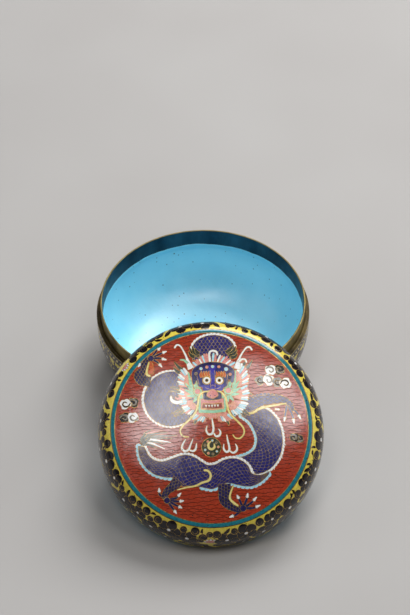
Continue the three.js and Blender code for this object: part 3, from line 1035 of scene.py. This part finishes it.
# %% Pieces
def piece(name, place, points, faces, materials, which, node, normals=None, soft_angle=40):
    """A mesh given in its own frame and stored in place. It rides on the body and replaces a node."""
    rotation, origin = np.array(place.to_3x3()), np.array(place.translation)
    points = (np.array(points) * MM) @ rotation.T + origin
    mesh = bpy.data.meshes.new(name)
    mesh.from_pydata(points.tolist(), [], [list(map(int, face)) for face in faces])
    for material in materials:
        mesh.materials.append(material)
    mesh.polygons.foreach_set("material_index", np.array(which, np.int32))
    mesh.update()
    obj = bpy.data.objects.new(name, mesh)
    bpy.context.scene.collection.objects.link(obj)
    if normals is None:
        mesh.shade_smooth()
        mesh.set_sharp_from_angle(angle=math.radians(soft_angle))
    else:
        mesh.normals_split_custom_set((np.array(normals) @ rotation.T).tolist())
    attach(obj, ROOT)
    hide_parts(node)
    print(f"{name}: {len(mesh.vertices)} points, {len(mesh.polygons)} faces")
    return obj


def shell_with_picture(name, place, design, profile, inner, outer, ground, loose, node):
    """An outer layer between two rings: the skin with its cells, closed behind by a plain copy of it."""
    flat, triangles, fillings = cut_skin(design, inner, outer, ground, loose)
    points, normals = on_profile(profile, flat)
    back_rings = np.linspace(inner or 0, outer, max(6, round((outer - inner) / 4)))
    back_flat, back_faces, rings = [], [], []
    for s in back_rings:
        start = len(points) + len(back_flat)
        rings.append([start] * RIM_STEPS if s == 0 else list(range(start, start + RIM_STEPS)))
        back_flat += [0j] if s == 0 else ring_of(s)
    back_points, _ = on_profile(profile, np.array(back_flat), ENAMEL)

    for low, high in zip(rings, rings[1:]):
        back_faces += faces_between(low, high)
    back_faces += faces_between(rings[-1], ring_indices(flat, outer))
    if inner:
        back_faces += faces_between(ring_indices(flat, inner), rings[0])
    faces = triangles.tolist() + back_faces
    if profile.outside < 0:
        faces = [face[::-1] for face in faces]
    points = np.vstack([points, back_points])
    corner_normals = [tuple(normals[i]) for face in faces[:len(triangles)] for i in face]
    for face in faces[len(triangles):]:
        way = np.cross(points[face[1]] - points[face[0]], points[face[2]] - points[face[0]])
        corner_normals += [tuple(way / (np.linalg.norm(way) or 1))] * len(face)
    names = sorted(set(fillings) | {"edge"})
    which = [names.index(f) for f in fillings] + [names.index("edge")] * len(back_faces)
    obj = piece(name, place, points, faces, [ENAMELS[n] for n in names], which, node, corner_normals)
    corner = 0.03 * (1 + 1j)
    unrolled = np.r_[0.5 + 0.5j + flat * 0.49 / outer, corner + np.array(back_flat) * 0.025 / outer]
    layer = obj.data.uv_layers.new(name="OFBake")  # the flat design, unrolled for image maps
    spots = unrolled[[i for face in faces for i in face]]
    layer.data.foreach_set("uv", np.c_[spots.real, spots.imag].astype(np.float32).ravel())


# %% The lid's enamel
SEAM = RING_EDGE + 0.05  # where the picture's skin ends and the side's begins
LID_EDGE = lid_profile.length
shell_with_picture("lid_picture", LID_FRAME, lid_design, lid_profile, 0, SEAM, "brick red",
                   loose_places(lid_profile, 0, SEAM, 1.8), "lid_shell")
shell_with_picture("lid_side", LID_FRAME, side_design, lid_profile, SEAM, LID_EDGE, "yellow",
                   loose_places(lid_profile, SEAM, LID_EDGE, 1.5), "lid_shell")

# %% [markdown]
# The box's side has the same blossom under a narrow border, and its underside is sky blue.

# %% The box's outer layer
BORDER = 4.2
foot_length = box_profile.length_at_radius(FOOT_OUTER * INSIDE_FLATS) + 0.3
border_start = box_profile.length - BORDER - 0.7
box_design = Design(foot_length, box_profile.length - 0.2)
for reach, filling in ((BORDER + 0.5, "scale wire"), (BORDER + 0.25, "black"), (0, "scale wire"),
                       (-0.25, "yellow")):
    box_design.lay(arc(0, border_start + reach, steps=360), filling)
box_design.place = wrapped(foot_length, RADIUS)
side_height = border_start - foot_length
count = flowered(box_design, 2 * math.pi * RADIUS, 0.6, side_height - 0.6, 23)
BORDER_MOTIFS = 120
for k in range(BORDER_MOTIFS):
    x = (k + 0.5) * 2 * math.pi * RADIUS / BORDER_MOTIFS
    y = side_height + BORDER / 2
    box_design.cell(arc(complex(x, y), 0.6, steps=8), "straw", wire=0.12)
    for side in (-1, 1):
        tip = complex(x + side * 1.4, y + side * 1.5)
        box_design.line([complex(x, y + side * 0.9), tip], 0.2)
        box_design.cell(arc(tip, 0.3, steps=6), "moss", wire=0.1)
box_design.place = lambda point: point
box_design.lay(arc(0, foot_length + 0.25, steps=360), "wire")
box_design.lay(arc(0, foot_length, steps=360), "underside")
print(count, "motifs on the box's side")
shell_with_picture("box_side", BOX_FRAME, box_design, box_profile, 0, box_profile.length, "yellow",
                   loose_places(box_profile, 0, box_profile.length, 2.2), "box_bowl")

# %% The linings
def waver(angle, seed):
    """A small uneven swing round the ring, between about -1 and 1."""
    return sum(math.sin(angle * k + seed * k * k) / math.sqrt(k) for k in (2, 3, 5, 8, 13)) / 2


def turned(outline, segments):
    """A surface turned from points of radius and height. Returns its points and faces."""
    turns = np.arange(segments) * 2 * math.pi / segments
    points, rings, faces = [], [], []
    for radius, height in outline:
        if radius < 1e-6:
            rings.append([len(points)] * segments)
            points.append((0, 0, height))
        else:
            rings.append(list(range(len(points), len(points) + segments)))
            points += [(radius * math.cos(t), radius * math.sin(t), height) for t in turns]
    for low, high in zip(rings, rings[1:]):
        faces += faces_between(low, high)
    return np.array(points), faces


def closed_turned(name, place, outline, materials, node, segments=192, uneven=None, soft_angle=40,
                  second=None):
    """A ring or bowl turned from a closed outline. second says which faces take the second material."""
    on_axis = outline[0][0] < 1e-6
    points, faces = turned(outline if on_axis else outline + outline[:1], segments)
    if not on_axis:
        last = len(points) - segments
        faces = [[i % last for i in face] for face in faces]
        points = points[:last]
    if uneven:
        points = np.array([uneven(*p) for p in points])
    which = [int(bool(second and second(points[face].mean(axis=0)))) for face in faces]
    piece(name, place, points, faces, materials, which, node, soft_angle=soft_angle)


def lap(x, y, z):
    """The enamel's edge runs unevenly up the collar."""
    if z > COLLAR_BOTTOM - 0.6:
        z += 0.5 * waver(math.atan2(y, x), 1.7) + 0.3 * waver(math.atan2(y, x) * 5, 0.9)
    return x, y, z


LIP_START = 36.6  # height above which the lining leaves the wall for the collar
LIP = [(54.5, 36.4), (54.06, 37), (53.98, 37.6), (54.15, 37.9)]  # radius and height, rounded over the edge
inner = belly_outline(WALL, BELLY_CENTRE, COLLAR_OUTER)[:-1]
inner = [p for p in inner if p[1] < LIP_START - 1] + LIP
middle = belly_outline(ENAMEL + 0.1, FOOT_OUTER - 1, 56)
middle = [(0, RECESS + ENAMEL + 0.1)] + [p for p in middle if p[1] < LIP_START]
closed_turned("box_lining", BOX_FRAME,
              middle + [(55.6, 37), LIP[-1]] + inner[::-1][1:] + [(0, BELLY_BOTTOM + WALL)],
              [ENAMELS["underside"]], "box_bowl", 256, lap)
LID_LINING_EDGE = 56.3  # radius at which the lid's lining meets its outer layer
lid_inner = lid_outline(WALL)[:-1] + [(LID_MOUTH, BAND_HEIGHT + 0.05)]
lid_middle = lid_outline(ENAMEL + 0.1)
closed_turned("lid_lining", LID_FRAME,
              lid_inner + [(LID_LINING_EDGE, BAND_HEIGHT + 0.05)] + lid_middle[:-1][::-1],
              [ENAMELS["underside"]], "lid_shell")


# %% Brass parts
def rounded(outline, radius, steps=4):
    """The closed outline with its corners rounded."""
    result = []
    for i, (x, y) in enumerate(outline):
        p = complex(x, y)
        before, after = complex(*outline[i - 1]), complex(*outline[(i + 1) % len(outline)])
        r = min(radius, abs(before - p) * 0.45, abs(after - p) * 0.45)
        a, b = p + (before - p) / abs(before - p) * r, p + (after - p) / abs(after - p) * r
        for k in range(steps + 1):
            t = k / steps
            q = a * (1 - t) ** 2 + 2 * p * t * (1 - t) + b * t * t
            result.append((q.real, q.imag))
    return result


def beaten(depth, seed):
    """A hand-worked ring is never quite round."""
    def uneven(x, y, z):
        swing = 1 - depth * (1 + waver(math.atan2(y, x), seed)) / RADIUS
        return x * swing, y * swing, z
    return uneven


COLLAR_HIDDEN = 0.8  # how much further down the collar goes behind the lining's edge
EDGE_ANGLE = 60  # brass edges that turn by more than this stay sharp


def ring_section(inner, outer, low, high, corner, inner_high=None):
    """The section of a ring between two radii and two heights, with rounded corners."""
    outer *= INSIDE_FLATS
    top_inside = high if inner_high is None else inner_high
    return rounded([(inner, low), (outer, low), (outer, high), (inner, top_inside)], corner)


closed_turned("box_collar_tube", BOX_FRAME,
              ring_section(COLLAR_INNER, COLLAR_OUTER, COLLAR_BOTTOM - COLLAR_HIDDEN, COLLAR_TOP, 0.35),
              [collar_brass, collar_inside], "box_collar", 256, beaten(0.04, 0.4), EDGE_ANGLE,
              lambda p: math.hypot(p[0], p[1]) < COLLAR_INNER + 0.05)
closed_turned("box_seat_ring", BOX_FRAME,
              ring_section(COLLAR_OUTER, SEAT_OUTER, MOUTH_HEIGHT, MOUTH_HEIGHT + SEAT_THICKNESS, 0.25),
              [seat_brass], "box_collar", 256, beaten(0.03, 2.2), EDGE_ANGLE)
closed_turned("lid_edge_band", LID_FRAME, ring_section(LID_MOUTH, BAND_OUTER, 0, BAND_HEIGHT, 0.3),
              [band_brass], "lid_band", 256, soft_angle=EDGE_ANGLE)
closed_turned("box_foot_ring", BOX_FRAME, ring_section(FOOT_INNER, FOOT_OUTER, 0, 3.4, 0.35, 1.55),
              [band_brass], "box_bowl", soft_angle=EDGE_ANGLE)

# %% [markdown]
# Two soft boxes above the lid lie as a pale veil across its dome. A wide one behind throws the shadows
# towards the front and glows in the bowl, and two weak walls fill the sides. The camera looks down at
# 45 degrees with a long lens.

# %% Floor
def floor_paper():
    material, nodes, links, shader = new_material("studio_paper")
    links.new(ramp(nodes, links, noise(nodes, links, 6, 2), (0.3, rgb("a9a6a4")), (0.7, rgb("afadab"))),
              shader.inputs["Base Color"])
    shader.inputs["Roughness"].default_value = 0.9
    return material


bpy.ops.mesh.primitive_plane_add(size=6)
floor = bpy.context.object
floor.name = "studio_floor"
floor.data.materials.append(floor_paper())
floor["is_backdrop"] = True

# %% Lights
LID_MIDDLE = LID_FRAME @ Vector((0, 0, (LID_RING_HEIGHT + DOME_RISE) * MM))


def soft_box(name, lean_x, lean_y, distance, width, depth, brightness):
    """A soft box that faces the lid, leant off the vertical by two angles."""
    light = bpy.data.lights.new(name, "AREA")
    light.shape, light.size, light.size_y = "RECTANGLE", width, depth
    light.energy = brightness * math.pi * width * depth
    obj = bpy.data.objects.new(name, light)
    bpy.context.scene.collection.objects.link(obj)
    way = Vector((math.tan(math.radians(lean_x)), math.tan(math.radians(lean_y)), 1)).normalized()
    obj.location = LID_MIDDLE + way * distance
    obj.rotation_euler = way.to_track_quat("Z", "Y").to_euler()


soft_box("left_soft_box", -10, -15.5, 1.5, 0.38, 0.54, 6.8)
soft_box("right_soft_box", 18, -10, 1.5, 0.36, 0.56, 6)
soft_box("back_soft_box", 20, 37, 1.7, 1.1, 1.1, 7.8)
soft_box("left_wall", -62, 5, 1.8, 1.4, 1.2, 0.6)
soft_box("right_wall", 62, 5, 1.8, 1.4, 1.2, 1.0)

world = bpy.data.worlds.new("studio")
bpy.context.scene.world = world
world.use_nodes = True
sky, sky_links = world.node_tree.nodes, world.node_tree.links
direction = sky.new("ShaderNodeSeparateXYZ")
sky_links.new(sky.new("ShaderNodeTexCoord").outputs["Generated"], direction.inputs[0])
glow = ramp(sky, sky_links, direction.outputs["Z"], (0.0, (0.1, 0.1, 0.1, 1)), (1.0, (0.08, 0.08, 0.08, 1)))
sky_links.new(glow, sky["Background"].inputs["Color"])
sky["Background"].inputs["Strength"].default_value = 1.0
bpy.context.scene.view_settings.view_transform = "Standard"

# %% Camera
HEIGHT_OF_VIEW = math.radians(45.465)
ROLL = math.radians(-0.632)
DISTANCE = 0.879
FOCAL_LENGTH = 93.6
AIM = BOX_FRAME.translation + Vector((1.1, 11.6, 30)) * MM
back_way = Vector((0, -math.cos(HEIGHT_OF_VIEW), math.sin(HEIGHT_OF_VIEW)))
lens = bpy.data.cameras.new("camera")
lens.lens, lens.sensor_width = FOCAL_LENGTH, 36
lens.clip_start, lens.clip_end = 0.01, 20
camera = bpy.data.objects.new("camera", lens)
bpy.context.scene.collection.objects.link(camera)
camera.matrix_world = (Matrix.Translation(AIM + back_way * DISTANCE)
                       @ back_way.to_track_quat("Z", "Y").to_matrix().to_4x4()
                       @ Matrix.Rotation(ROLL, 4, "Z"))
bpy.context.scene.camera = camera

# %% Sizes and the end
bpy.context.view_layer.update()
visual_box = [list(corner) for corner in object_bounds()]
print("the dressed part reaches from", visual_box[0], "to", visual_box[1])
